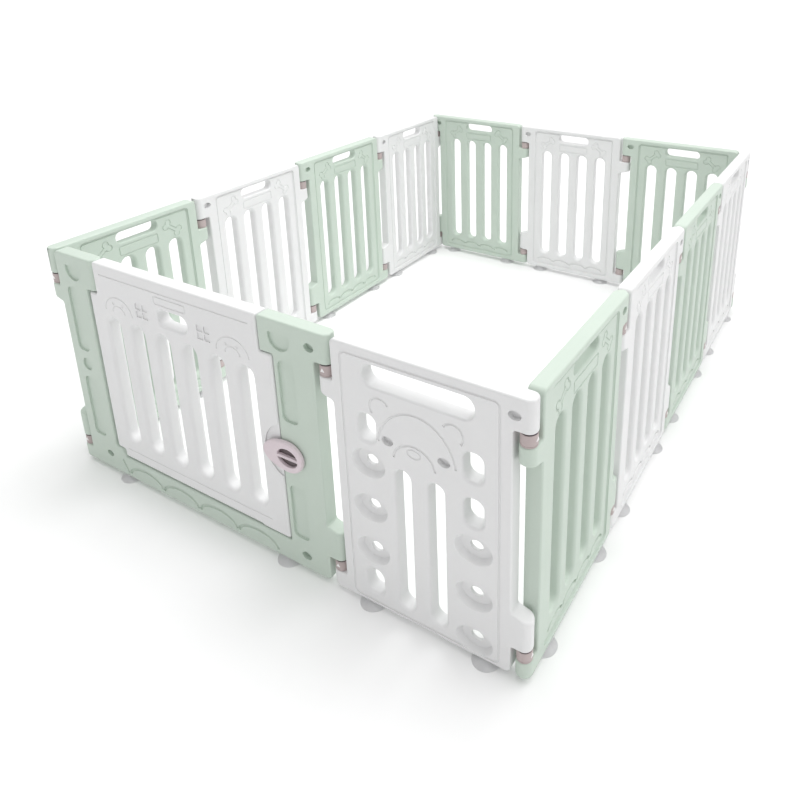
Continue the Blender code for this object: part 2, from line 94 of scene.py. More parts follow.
# Sizes of the gate and its leaf.
GATE_WIDTH = 2 * PITCH
POST_EDGE = 0.130
HEAD_BOTTOM = TOP - 0.080
RAIL_TOP = FOOT_HEIGHT + 0.058
BLOCK_TOP = RAIL_TOP + 0.023
LEAF_LEFT = leaf_low[0] - gate_axis.x
LEAF_RIGHT = leaf_high[0] - gate_axis.x
LEAF_BOTTOM = leaf_low[2]
SWING_GAP = 0.002
LEAF_SHOULDER = HEAD_BOTTOM - 0.003
NARROW_LEFT = PIVOT_X + HALF_THICKNESS + SWING_GAP
NARROW_RIGHT = LEAF_RIGHT - 0.035
KNOB_BACK = -HALF_THICKNESS - 0.0006
HOLLOW_X = 0.003  # of the knob's finger hollows from its axis

# Fineness of the rounding, in segments.
KNUCKLE_SEGMENTS = 7
CORNER_SEGMENTS = 5
SLOT_SEGMENTS = 8


# Operators on one object at a time.


def only(obj):
    """Selects one object and makes it active."""
    bpy.ops.object.select_all(action="DESELECT")
    obj.select_set(True)
    bpy.context.view_layer.objects.active = obj
    return obj


def settled(obj):
    """Applies an object's place, turn and scale to its mesh."""
    only(obj)
    bpy.ops.object.transform_apply(location=True, rotation=True, scale=True)
    return obj


def block(name, low, high):
    """A box from its low corner to its high corner."""
    low, high = Vector(low), Vector(high)
    bpy.ops.object.select_all(action="DESELECT")
    bpy.ops.mesh.primitive_cube_add(size=1.0, location=(low + high) / 2, scale=high - low)
    obj = bpy.context.object
    obj.name = name
    return settled(obj)


def drum(name, centre, radius, depth, axis="Y", sides=48):
    """A cylinder about an axis through its middle."""
    turn = {"X": (0, math.pi / 2, 0), "Y": (math.pi / 2, 0, 0), "Z": (0, 0, 0)}[axis]
    bpy.ops.object.select_all(action="DESELECT")
    bpy.ops.mesh.primitive_cylinder_add(
        vertices=sides, radius=radius, depth=depth, location=centre, rotation=turn
    )
    obj = bpy.context.object
    obj.name = name
    return settled(obj)


def choose(obj, kind, test):
    """In edit mode, selects the faces or edges whose middle passes a test."""
    bpy.ops.mesh.select_mode(type=kind)
    bpy.ops.mesh.select_all(action="DESELECT")
    work = bmesh.from_edit_mesh(obj.data)
    chosen = 0
    if kind == "FACE":
        for face in work.faces:
            if test(face.calc_center_median(), face.normal):
                face.select_set(True)
                chosen += 1
    elif kind == "EDGE":
        for edge in work.edges:
            one, two = (vert.co for vert in edge.verts)
            if test((one + two) / 2, (two - one).normalized()):
                edge.select_set(True)
                chosen += 1
    else:
        for vert in work.verts:
            if test(vert.co, vert.normal):
                vert.select_set(True)
                chosen += 1
    work.select_flush_mode()
    bmesh.update_edit_mesh(obj.data)
    return chosen


def in_edit(obj):
    only(obj)
    bpy.ops.object.mode_set(mode="EDIT")


def out_of_edit():
    bpy.ops.object.mode_set(mode="OBJECT")


def near(value, target, within=1e-4):
    return abs(value - target) < within


def upright(along):
    return abs(along.z) > 0.9


def across(along):
    """Whether an edge runs from one wide face to the other."""
    return abs(along.y) > 0.9


def rounded(obj, test, radius, segments):
    """Rounds the edges that pass a test."""
    in_edit(obj)
    if choose(obj, "EDGE", test):
        bpy.ops.mesh.bevel(
            offset=radius, offset_type="OFFSET", segments=segments, affect="EDGES", clamp_overlap=False
        )
    out_of_edit()
    return obj


def soft_mouths(obj, low, high, radius, segments=4, sunk=0.0):
    """Rounds the mouths of the holes between two (x, z) corners, on both wide faces.

    sunk is the depth of the face that they open in.
    """
    sharp = 0.6  # radians between the faces of a mouth's edge
    in_edit(obj)
    bpy.ops.mesh.select_mode(type="EDGE")
    bpy.ops.mesh.select_all(action="DESELECT")
    work = bmesh.from_edit_mesh(obj.data)
    for edge in work.edges:
        middle = (edge.verts[0].co + edge.verts[1].co) / 2
        inside = low[0] < middle.x < high[0] and low[1] < middle.z < high[1]
        on_face = near(abs(middle.y), HALF_THICKNESS - sunk)
        if inside and on_face and edge.calc_face_angle() > sharp:
            edge.select_set(True)
    bmesh.update_edit_mesh(obj.data)
    bpy.ops.mesh.bevel(offset=radius, segments=segments, affect="EDGES", clamp_overlap=False)
    out_of_edit()
    return obj


def combined(obj, others, operation):
    """Joins other solids to an object, or cuts them from it."""
    for other in others:
        modifier = obj.modifiers.new("join", "BOOLEAN")
        modifier.operation = operation
        modifier.solver = "MANIFOLD"
        modifier.object = other
        only(obj)
        bpy.ops.object.modifier_apply(modifier=modifier.name)
        bpy.data.objects.remove(other, do_unlink=True)
    return obj


def gathered(name, objects):
    """Joins separate solids into one object."""
    bpy.ops.object.select_all(action="DESELECT")
    for obj in objects:
        obj.select_set(True)
    bpy.context.view_layer.objects.active = objects[0]
    bpy.ops.object.join()
    obj = bpy.context.object
    obj.name = name
    return obj


def soft_edges(obj, width, segments=3, angle=32.0):
    """Rounds every edge that is sharper than an angle in degrees."""
    modifier = obj.modifiers.new("edges", "BEVEL")
    modifier.width = width
    modifier.segments = segments
    modifier.limit_method = "ANGLE"
    modifier.angle_limit = math.radians(angle)
    modifier.use_clamp_overlap = False
    modifier.miter_outer = "MITER_ARC"
    only(obj)
    bpy.ops.object.modifier_apply(modifier=modifier.name)
    return obj


def shaded(obj, angle=38.0):
    """Smooth shading that leaves flat faces flat."""
    only(obj)
    bpy.ops.object.shade_smooth_by_angle(angle=math.radians(angle))
    modifier = obj.modifiers.new("normals", "WEIGHTED_NORMAL")
    modifier.keep_sharp = True
    modifier.weight = 80
    bpy.ops.object.modifier_apply(modifier=modifier.name)
    return obj


# Cutters for holes, hollows and moulded lines. Places are (x, z) on a panel's face.


def slot_cutter(left, right, bottom, top, near_y, far_y, round_by=None):
    """An upright or level slot with round ends, or a window with corners of a given radius."""
    end_share = 0.96  # of half a slot's width, so that a short flat is left at its end
    radius = min(right - left, top - bottom) / 2 * end_share if round_by is None else round_by
    cutter = block("slot", (left, near_y, bottom), (right, far_y, top))
    return rounded(cutter, lambda middle, along: across(along), radius, SLOT_SEGMENTS)


def through_slot(left, right, bottom, top, round_by=None):
    return slot_cutter(left, right, bottom, top, -THICKNESS, THICKNESS, round_by)


def row_of_slots(left, right, count, bar, bottom, top):
    """Equal slots between two sides, with bars of one width between them."""
    width = (right - left - (count - 1) * bar) / count
    starts = [left + i * (width + bar) for i in range(count)]
    return [through_slot(start, start + width, bottom, top) for start in starts]


def oval_cutter(x, z, width, height, near_y, far_y, taper=1.0, sides=40):
    """An oval plug across a panel. taper is the far end's size in the near end's."""
    cutter = drum("oval", (0, 0, 0), 0.5, 1.0, "Y", sides)
    in_edit(cutter)
    if taper != 1.0:
        choose(cutter, "VERT", lambda place, normal: place.y > 0)
        bpy.ops.transform.resize(value=(taper, 1.0, taper), center_override=(0, 0.5, 0))
    out_of_edit()
    cutter.scale = (width, far_y - near_y, height)
    cutter.location = (x, (near_y + far_y) / 2, z)
    return settled(cutter)


def on_both_faces(make):
    """Runs a maker for the outer face, at -Y, and for the inner face."""
    return [make(-1), make(1)]


def blind_reach(depth, side):
    """The lower and the higher Y of a cutter that goes some depth into one face."""
    return sorted((side * (HALF_THICKNESS - depth), side * (HALF_THICKNESS + PAST)))


def blind_hollow(left, right, bottom, top, depth, side, round_by=None):
    """A shallow hollow in one face. side is -1 for the outer face."""
    return slot_cutter(left, right, bottom, top, *blind_reach(depth, side), round_by)


def blind_hole(x, z, width, height, depth, side):
    """A blind oval hole with straight walls."""
    return oval_cutter(x, z, width, height, *blind_reach(depth, side))


def half_moon(x, z, radius, depth, side):
    """A shallow half-round hollow, flat side up."""
    flat, reach = 0.009, 0.1
    moon = blind_hole(x, z, 2 * radius, 2 * radius, depth, side)
    spare = block("spare", (x - reach, -reach, z + flat), (x + reach, reach, z + reach))
    return combined(moon, [spare], "DIFFERENCE")


def dimple(x, z, width, height, depth, side):
    """A blind oval hollow with a rounded floor."""
    bpy.ops.object.select_all(action="DESELECT")
    bpy.ops.mesh.primitive_uv_sphere_add(segments=28, ring_count=14, radius=0.5)
    cutter = bpy.context.object
    cutter.scale = (width, 2 * depth, height)
    cutter.location = (x, side * HALF_THICKNESS, z)
    return settled(cutter)


def line(points, side, radius, closed, sunk):
    """A moulded line along (x, z) points, as the tube that cuts it into one face."""
    off_face = radius * 0.08
    curve = bpy.data.curves.new("line", "CURVE")
    curve.dimensions = "3D"
    curve.bevel_depth = radius
    curve.bevel_resolution = 2
    curve.use_fill_caps = True
    spline = curve.splines.new("POLY")
    spline.points.add(len(points) - 1)
    for point, (x, z) in zip(spline.points, points):
        point.co = (x, side * (HALF_THICKNESS - sunk + off_face), z, 1.0)
    spline.use_cyclic_u = closed
    obj = bpy.data.objects.new("line", curve)
    bpy.context.scene.collection.objects.link(obj)
    only(obj)
    bpy.ops.object.convert(target="MESH")
    obj = bpy.context.object
    in_edit(obj)
    bpy.ops.mesh.select_all(action="SELECT")
    bpy.ops.mesh.remove_doubles(threshold=1e-6)
    bpy.ops.mesh.normals_make_consistent(inside=False)
    out_of_edit()
    return obj


def arc(centre, radii, start, end, steps=18):
    """(x, z) points on an arc, in degrees from +X towards +Z."""
    angles = [math.radians(start + (end - start) * i / steps) for i in range(steps + 1)]
    return [(centre[0] + radii[0] * math.cos(a), centre[1] + radii[1] * math.sin(a)) for a in angles]


def frame_line(left, right, bottom, top, radius):
    """The closed outline of a box with round corners."""
    radii, steps = (radius, radius), 5
    return (
        arc((right - radius, bottom + radius), radii, -90, 0, steps)
        + arc((right - radius, top - radius), radii, 0, 90, steps)
        + arc((left + radius, top - radius), radii, 90, 180, steps)
        + arc((left + radius, bottom + radius), radii, 180, 270, steps)
    )


def waves(left, right, bottom, height, count):
    """A row of separate arches that nearly touch at their feet."""
    width, gap = (right - left) / count, 0.003
    arches = []
    for i in range(count):
        middle = left + (i + 0.5) * width
        arches.append((arc((middle, bottom), (width / 2 - gap, height), 176, 4, 12), False))
    return arches


def bone_line(x, z, length, turn):
    """The outline of a toy bone with two lobes at each end, turned by degrees."""
    lobe, spread, waist = 0.0085, 0.0072, 0.0048
    reach = length / 2 - lobe
    start = 180 + math.degrees(math.asin((spread - waist) / lobe))
    end = -math.degrees(math.asin(spread / lobe)) + 6
    upper_right = arc((reach, spread), (lobe, lobe), start, end, 11)
    lower_right = [(px, -pz) for px, pz in reversed(upper_right)]
    right = upper_right + lower_right
    outline = right + [(-px, -pz) for px, pz in right]
    cosine, sine = math.cos(math.radians(turn)), math.sin(math.radians(turn))
    return [(x + px * cosine - pz * sine, z + px * sine + pz * cosine) for px, pz in outline]


# Panels.


def slab(name, left_axis, right_axis, columns, rows):
    """A panel's body with its four knuckles drawn out of its ends, round about the hinge axes.

    Its wide faces are parted along the columns (x) and rows (z), which run through the later holes.
    """
    left, right = left_axis + HALF_GAP, right_axis - HALF_GAP
    upper_joint = UPPER_SEAT + COLLAR_HEIGHT + COLLAR_SLACK
    lower_joint = LOWER_SEAT + COLLAR_HEIGHT + COLLAR_SLACK
    hanger_top = UPPER_SEAT - SEAT_GAP
    # Side, low end, high end, and how much the tip's low and high edges are moved up.
    knuckles = (
        (-1, hanger_top - HANGER_HEIGHT, hanger_top, KNUCKLE_RISE, 0.0),
        (-1, FOOT_HEIGHT, LOWER_SEAT - SEAT_GAP, 0.0, 0.0),
        (1, upper_joint, TOP, 0.0, 0.0),
        (1, lower_joint, lower_joint + BLOCK_HEIGHT, 0.0, -KNUCKLE_RISE),
    )
    obj = block(name, (left, -HALF_THICKNESS, FOOT_HEIGHT), (right, HALF_THICKNESS, TOP))
    in_edit(obj)
    levels = sorted({round(z, 6) for _, low, high, _, _ in knuckles for z in (low, high)})
    for z in levels:
        if not near(z, FOOT_HEIGHT) and not near(z, TOP):
            bpy.ops.mesh.select_all(action="SELECT")
            bpy.ops.mesh.bisect(plane_co=(0, 0, z), plane_no=(0, 0, 1))
    for side, low, high, rise_low, rise_high in knuckles:
        choose(
            obj,
            "FACE",
            lambda middle, normal: normal.x * side > 0.9
            and near(middle.x, right if side > 0 else left)
            and low < middle.z < high,
        )
        reach = HALF_GAP + KNUCKLE_RADIUS
        bpy.ops.mesh.extrude_region_move(TRANSFORM_OT_translate={"value": (side * reach, 0, 0)})
        tip = (right if side > 0 else left) + side * reach
        for level, rise in ((low, rise_low), (high, rise_high)):
            if rise:
                choose(obj, "VERT", lambda place, normal: near(place.x, tip) and near(place.z, level))
                bpy.ops.transform.translate(value=(0, 0, rise))
    out_of_edit()
    tips = (left_axis - KNUCKLE_RADIUS, right_axis + KNUCKLE_RADIUS)
    rounded(
        obj,
        lambda middle, along: upright(along) and any(near(middle.x, tip) for tip in tips),
        KNUCKLE_RADIUS,
        KNUCKLE_SEGMENTS,
    )
    corners = ((left, TOP), (right, FOOT_HEIGHT), (right_axis + KNUCKLE_RADIUS, TOP))
    rounded(
        obj,
        lambda middle, along: across(along)
        and any(near(middle.x, x) and near(middle.z, z) for x, z in corners),
        CORNER,
        CORNER_SEGMENTS,
    )
    return parted(obj, columns, rows)


def face_lines(outlines, radius=LINE, sides=(-1, 1), sunk=0.0):
    """Moulded lines on the panel's faces, one cutter for each outline, which is (points, closed)."""
    return [line(points, side, radius, closed, sunk) for side in sides for points, closed in outlines]


def parted(obj, columns, rows):
    """Joins the coplanar faces, then parts them at set places, so that no face goes round a hole."""
    cuts = [((x, 0, 0), (1, 0, 0)) for x in columns] + [((0, 0, z), (0, 0, 1)) for z in rows]
    in_edit(obj)
    bpy.ops.mesh.select_all(action="SELECT")
    bpy.ops.mesh.dissolve_limited(angle_limit=math.radians(0.5))
    for place, normal in cuts:
        bpy.ops.mesh.select_all(action="SELECT")
        bpy.ops.mesh.bisect(plane_co=place, plane_no=normal)
    out_of_edit()
    return obj


def with_pins(obj, left_axis, right_axis):
    """Adds the hinge pins under the upper knuckles, and their sockets in the lower ones."""
    pin_reach, socket_reach, root = 0.016, 0.020, 0.006
    pins, sockets = [], []
    for seat in (UPPER_SEAT, LOWER_SEAT):
        low, high = seat - pin_reach, seat + COLLAR_HEIGHT + COLLAR_SLACK + root
        place = (right_axis, 0, (low + high) / 2)
        pins.append(drum("pin", place, PIN_RADIUS, high - low, "Z", 24))
        low, high = seat - socket_reach, seat + 0.004
        place = (left_axis, 0, (low + high) / 2)
        sockets.append(drum("socket", place, SOCKET_RADIUS, high - low, "Z", 24))
    combined(obj, sockets, "DIFFERENCE")
    return combined(obj, pins, "UNION")


def around(low, high, margin=0.001):
    """Two (x, z) corners moved a little outwards, to hold the edges that lie on them."""
    return (low[0] - margin, low[1] - margin), (high[0] + margin, high[1] + margin)


def fence_panel():
    """Four long slots and a handle in a sunk field, with two bones, a cartouche and arches."""
    middle, slot_pitch = PITCH / 2, 0.0755
    rim_half, rim_bottom, rim_top = 0.165, FOOT_HEIGHT + 0.016, TOP - 0.0125
    slots_left, slots_right = HALF_GAP + 0.0605, PITCH - HALF_GAP - 0.0605
    slots_bottom, slots_top = FOOT_HEIGHT + 0.066, TOP - 0.093
    handle_half, handle_bottom, handle_top = 0.062, TOP - 0.048, TOP - 0.018
    panel = soft_edges(slab("fence", 0.0, PITCH, [], []), EDGE)

    rim = (middle - rim_half, middle + rim_half, rim_bottom, rim_top)
    combined(panel, on_both_faces(lambda side: blind_hollow(*rim, FIELD, side, 0.012)), "DIFFERENCE")
    low, high = around((rim[0], rim[2]), (rim[1], rim[3]))
    soft_mouths(panel, low, high, 0.0015, 3)
    soft_mouths(panel, low, high, 0.0013, 2, FIELD)

    columns = [*(middle + (i - 1.5) * slot_pitch for i in range(4)), middle]
    parted(panel, columns, [PARTING_HEIGHT])
    holes = row_of_slots(slots_left, slots_right, 4, 0.0363, slots_bottom, slots_top)
    holes.append(through_slot(middle - handle_half, middle + handle_half, handle_bottom, handle_top))
    combined(panel, [gathered("holes", holes)], "DIFFERENCE")
    low, high = around((slots_left, slots_bottom), (slots_right, slots_top))
    soft_mouths(panel, low, high, SLOT_EDGE, sunk=FIELD)
    low, high = around((middle - handle_half, handle_bottom), (middle + handle_half, handle_top))
    soft_mouths(panel, low, high, 0.0040, 3, FIELD)
    with_pins(panel, 0.0, PITCH)

    inset, bone_out, bone_turn = 0.0042, 0.108, 38
    foot_of_rim = frame_line(rim[0] + inset, rim[1] - inset, rim[2] + inset, rim[3] - inset, 0.009)
    cartouche = frame_line(middle - 0.0585, middle + 0.0585, TOP - 0.0835, TOP - 0.0585, 0.004)
    bones = [
        (bone_line(middle + side * bone_out, TOP - 0.058, 0.060, -side * bone_turn), True)
        for side in (-1, 1)
    ]
    arches = waves(middle - 0.145, middle + 0.145, FOOT_HEIGHT + 0.031, 0.015, 4)
    cutters = [
        *face_lines([(cartouche, True), (foot_of_rim, True)], 0.0024, sunk=FIELD),
        *face_lines(bones, 0.0022, sunk=FIELD),
        *face_lines(arches, 0.0040, sunk=FIELD),
    ]
    dimples = on_both_faces(
        lambda side: blind_hole(PITCH - PLUG_INSET, TOP - 0.029, 0.024, 0.017, PLUG_DEPTH, side)
    )
    combined(panel, [*cutters, *dimples], "DIFFERENCE")
    return shaded(panel)


def activity_panel():
    """A long handle, two slots, and two columns of windows and dishes beside a bear's head."""
    middle, low = PITCH / 2, FOOT_HEIGHT
    column_out, slot_half, bar = 0.116, 0.055, 0.038
    slots_top = TOP - 0.238
    # What each column holds, from the top down, with heights above the panel's foot.
    left_column = (
        ("window", 0.429), ("dish", 0.3499), ("dish", 0.245), ("dish", 0.140), ("window", 0.061),
    )
    right_column = (
        ("window", 0.429), ("window", 0.3323), ("dish", 0.2519), ("dish", 0.1439), ("dish", 0.0365),
    )
    openings = [
        (kind, middle + out, low + height)
        for out, column in ((-column_out, left_column), (column_out, right_column))
        for kind, height in column
    ]
    windows = [(x, z) for kind, x, z in openings if kind == "window"]
    dish_places = [(x, z) for kind, x, z in openings if kind == "dish"]
    window_half, window_rise = 0.021, 0.030
    dish_width, dish_height, floor_share = 0.082, 0.062, 0.80

    parting = [middle + x for x in (-column_out, -0.037, 0, 0.037, column_out)]
    panel = slab("activity", 0.0, PITCH, parting, [0.21])
    holes = row_of_slots(middle - slot_half, middle + slot_half, 2, bar, low + 0.030, slots_top)
    holes.append(through_slot(middle - 0.120, middle + 0.120, TOP - 0.077, TOP - 0.031))
    for x, z in windows:
        sides = (x - window_half, x + window_half)
        holes.append(through_slot(*sides, z - window_rise, z + window_rise, 0.0165))
    small_holes, dishes = [], []
    mouth, floor = HALF_THICKNESS + 0.001, HALF_THICKNESS - 0.0135
    for x, z in dish_places:
        small_holes.append(oval_cutter(x, z, 0.027, 0.022, -THICKNESS, THICKNESS, sides=24))
        dishes.append(oval_cutter(x, z, dish_width, dish_height, -mouth, -floor, floor_share))
        floor_size = (dish_width * floor_share, dish_height * floor_share)
        dishes.append(oval_cutter(x, z, *floor_size, floor, mouth, 1 / floor_share))
    combined(panel, [gathered("holes", holes)], "DIFFERENCE")
    margin = 0.0005
    slots_reach = slot_half + margin
    slots_corners = (middle - slots_reach, 0.0), (middle + slots_reach, slots_top + 0.008)
    soft_mouths(panel, *slots_corners, 0.0070)
    for x, z in windows:
        low_corner, high_corner = (x - window_half, z - window_rise), (x + window_half, z + window_rise)
        soft_mouths(panel, *around(low_corner, high_corner, margin), 0.0065, 3)
    soft_edges(panel, EDGE)
    with_pins(panel, 0.0, PITCH)
    combined(panel, [gathered("dishes", dishes), gathered("small holes", small_holes)], "DIFFERENCE")
    soft_edges(panel, 0.0012, 2, 40)

    border = frame_line(middle - 0.169, middle + 0.169, low + 0.010, TOP - 0.020, 0.012)
    ear = (0.022, 0.022)
    head = [
        (arc((middle - 0.003, low + 0.398), (0.086, 0.096), 8, 172, 30), False),
        (arc((middle - 0.082, low + 0.483), ear, 30, 222), False),
        (arc((middle + 0.076, low + 0.483), ear, -42, 150), False),
        (arc((middle - 0.008, low + 0.385), (0.046, 0.042), 5, 175, 20), False),
    ]
    nose = [(arc((middle - 0.008, low + 0.411), (0.015, 0.009), 0, 360, 16)[:-1], True)]
    cutters = [
        *face_lines([(border, True)]),
        *face_lines(head, LINE, (-1,)),
        *face_lines(nose, FINE_LINE, (-1,)),
    ]
    eyes = [blind_hole(middle + x, low + 0.418, 0.027, 0.020, 0.010, -1) for x in (-0.067, 0.057)]
    plugs = on_both_faces(
        lambda side: blind_hole(PITCH - PLUG_INSET, TOP - 0.0355, 0.025, 0.018, PLUG_DEPTH, side)
    )
    combined(panel, [*cutters, *eyes, *plugs], "DIFFERENCE")
    return shaded(panel)


def gate_frame():
    """A double-width U: two posts with heads, and a bottom rail under the leaf."""
    beyond, low = THICKNESS, FOOT_HEIGHT
    left_column, right_column, column_half = 0.074, 0.764, 0.022
    far_post = GATE_WIDTH - POST_EDGE
    barrel_end = PIVOT_X + KNUCKLE_RADIUS
    right_head = far_post - 0.035
    frame_obj = slab("gate", 0.0, GATE_WIDTH, [left_column, PITCH, right_column], [PARTING_HEIGHT])
    openings = [
        block("opening", (POST_EDGE, -beyond, BLOCK_TOP), (far_post, beyond, HEAD_BOTTOM)),
        block("opening", (barrel_end, -beyond, RAIL_TOP), (far_post, beyond, BLOCK_TOP + PAST)),
        block("opening", (barrel_end, -beyond, HEAD_BOTTOM - PAST), (right_head, beyond, TOP + PAST)),
    ]
    combined(frame_obj, openings, "DIFFERENCE")
    rounded(
        frame_obj,
        lambda middle, along: upright(along) and near(middle.x, barrel_end),
        KNUCKLE_RADIUS,
        KNUCKLE_SEGMENTS,
    )
    soft_edges(frame_obj, EDGE)
    with_pins(frame_obj, 0.0, GATE_WIDTH)

    depth = 0.0050
    # Middle, bottom and top of each upright hollow in the posts.
    uprights = (
        (left_column, 0.340, 0.513),
        (left_column, 0.093, 0.265),
        (right_column, 0.370, 0.513),
        (right_column, 0.078, 0.213),
    )
    hollows = []
    for side in (-1, 1):
        for x, bottom, top in uprights:
            sides = (x - column_half, x + column_half)
            hollows.append(blind_hollow(*sides, low + bottom, low + top, depth, side, 0.014))
        hollows += [
            blind_hole(0.0745, low + 0.302, 0.034, 0.034, depth, side),
            half_moon(0.088, low + 0.562, 0.029, depth, side),
            half_moon(0.752, low + 0.562, 0.029, depth, side),
            blind_hole(0.100, low + 0.046, 0.025, 0.018, PLUG_DEPTH, side),
            blind_hole(0.773, low + 0.036, 0.027, 0.020, PLUG_DEPTH, side),
            blind_hole(GATE_WIDTH - 0.030, low + 0.563, 0.025, 0.019, PLUG_DEPTH, side),
        ]
    slant = ([(0.150, low + 0.046), (0.168, low + 0.012)], False)
    cutters = face_lines([slant, *waves(0.172, 0.690, low + 0.010, 0.030, 4)], BOLD_LINE)
    spindle = drum("spindle hole", (LATCH_X, 0, LATCH_Z), 0.0098, 2 * THICKNESS)
    combined(frame_obj, [*hollows, *cutters, spindle], "DIFFERENCE")
    return shaded(frame_obj)


def gate_leaf():
    """Six slots and a hand hole, with two small heads and four-pane windows beside the hole."""
    beyond, low, middle = THICKNESS, FOOT_HEIGHT, PITCH
    slot_margin, slot_pitch, bar = 0.060, 0.086, 0.042
    slots_left, slots_right = LEAF_LEFT + slot_margin, LEAF_RIGHT - slot_margin
    slots_bottom, slots_top = low + 0.122, TOP - 0.134
    notch_top = BLOCK_TOP + 0.003
    leaf = block("leaf", (LEAF_LEFT, -HALF_THICKNESS, LEAF_BOTTOM), (LEAF_RIGHT, HALF_THICKNESS, TOP))
    cuts = [
        block("cut", (0, -beyond, LEAF_SHOULDER), (NARROW_LEFT, beyond, TOP + PAST)),
        block("cut", (NARROW_RIGHT, -beyond, LEAF_SHOULDER), (GATE_WIDTH, beyond, TOP + PAST)),
        block("cut", (0, -beyond, 0), (NARROW_LEFT, beyond, notch_top)),
    ]
    combined(leaf, cuts, "DIFFERENCE")
    rounded(
        leaf,
        lambda middle, along: upright(along) and near(middle.x, LEAF_LEFT),
        KNUCKLE_RADIUS,
        KNUCKLE_SEGMENTS,
    )
    slot_middles = [LEAF_LEFT + 0.082 + i * slot_pitch for i in range(6)]
    parted(leaf, [middle, *slot_middles], [PARTING_HEIGHT])
    holes = row_of_slots(slots_left, slots_right, 6, bar, slots_bottom, slots_top)
    holes.append(through_slot(middle - 0.049, middle + 0.049, TOP - 0.107, TOP - 0.067))
    combined(leaf, [gathered("holes", holes)], "DIFFERENCE")
    soft_mouths(leaf, (slots_left - 0.005, 0.0), (slots_right + 0.005, slots_top + 0.004), 0.0095)
    soft_edges(leaf, 0.0050, 4)

    head_x, head_z = 0.245, low + 0.484
    eye_out, eye_z = 0.016, low + 0.508
    pane_places = [(x, z) for x in (0.3185, 0.3405) for z in (low + 0.5025, low + 0.5215)]
    pane_half, pane_rise = 0.0095, 0.0080
    top_z, foot_z = low + 0.573, low + 0.092
    head = [
        (arc((head_x, head_z), (0.048, 0.042), 4, 176), False),
        (arc((head_x, head_z), (0.022, 0.020), 8, 172), False),
    ]
    mirrored = [([(GATE_WIDTH - x, z) for x, z in points], closed) for points, closed in head]
    top_line = [(NARROW_LEFT + 0.022, top_z), (NARROW_RIGHT - 0.022, top_z)]
    foot_line = [(LEAF_LEFT + 0.050, foot_z), (LEAF_RIGHT - 0.050, foot_z)]
    cartouche = frame_line(middle - 0.050, middle + 0.050, TOP - 0.0545, TOP - 0.0365, 0.003)
    cutters = face_lines(
        [*head, *mirrored, (top_line, False), (foot_line, False), (cartouche, True)], FINE_LINE
    )
    for side in (-1, 1):
        for place in (lambda x: x, lambda x: GATE_WIDTH - x):
            cutters += [
                dimple(place(head_x + out), eye_z, 0.009, 0.009, 0.002, side)
                for out in (-eye_out, eye_out)
            ]
            for x, z in pane_places:
                left, right = place(x) - pane_half, place(x) + pane_half
                cutters.append(
                    blind_hollow(left, right, z - pane_rise, z + pane_rise, 0.0028, side, 0.003)
                )
    sweep_radius, outside, floor = 0.070, HALF_THICKNESS + PAST, HALF_THICKNESS - 0.003
    centre = (LATCH_X, -(outside + floor) / 2, LATCH_Z)
    sweep = drum("sweep", centre, sweep_radius, outside - floor, sides=96)
    combined(leaf, [*cutters, sweep], "DIFFERENCE")
    return shaded(leaf)


# Hinge collars, latch and feet.


def collar():
    """A bush round the hinge pin, about the Z axis, standing on the floor of its own frame."""
    radius, bore_radius = 0.0157, 0.0070
    groove_height, groove_width, groove_depth = COLLAR_HEIGHT * 0.14, 0.0009, 0.0006
    ring = drum("collar", (0, 0, COLLAR_HEIGHT / 2), radius, COLLAR_HEIGHT, "Z", 64)
    bore = drum("bore", (0, 0, COLLAR_HEIGHT / 2), bore_radius, 2 * COLLAR_HEIGHT, "Z", 32)
    combined(ring, [bore], "DIFFERENCE")
    soft_edges(ring, 0.0009, 2)
    groove = drum("groove", (0, 0, groove_height), radius + 0.0013, groove_width, "Z", 64)
    core = drum("core", (0, 0, groove_height), radius - groove_depth, 0.004, "Z", 64)
    combined(groove, [core], "DIFFERENCE")
    combined(ring, [groove], "DIFFERENCE")
    return shaded(ring)


def painted_gap_shadow():
    """A dark ring on top of a collar, round the hinge pin: painted shadow of the gap between the collar
    and the knuckle above it.
    """
    middle = COLLAR_HEIGHT + 0.0009
    ring = drum("painted_gap_shadow", (0, 0, middle), 0.0150, 0.0014, "Z", 48)
    combined(ring, [drum("bore", (0, 0, middle), 0.0066, 0.004, "Z", 32)], "DIFFERENCE")
    soft_edges(ring, 0.0003, 2)
    return shaded(ring)


def collar_mark():
    """The small triangle moulded on a collar's outer side, pointing down."""
    place = (0, -0.0156, COLLAR_HEIGHT * 0.58)
    bpy.ops.object.select_all(action="DESELECT")
    bpy.ops.mesh.primitive_cylinder_add(vertices=3, radius=0.0056, depth=0.0016, location=place)
    mark = bpy.context.object
    mark.rotation_euler = (math.pi / 2, 0, 0)
    settled(mark)
    soft_edges(mark, 0.00035, 2)
    return shaded(mark)


def egg(name, nose, round_end, half_height, near_y, far_y, x=0.0):
    """A flat egg about the Y axis with its nose towards -X."""
    obj = drum(name, (0, 0, 0), 1.0, 1.0, "Y", 72)
    in_edit(obj)
    choose(obj, "VERT", lambda place, normal: place.x < -1e-4)
    bpy.ops.transform.resize(value=(nose / round_end, 1, 1), center_override=(0, 0, 0))
    out_of_edit()
    obj.scale = (round_end, far_y - near_y, half_height)
    obj.location = (x, (near_y + far_y) / 2, 0)
    return settled(obj)


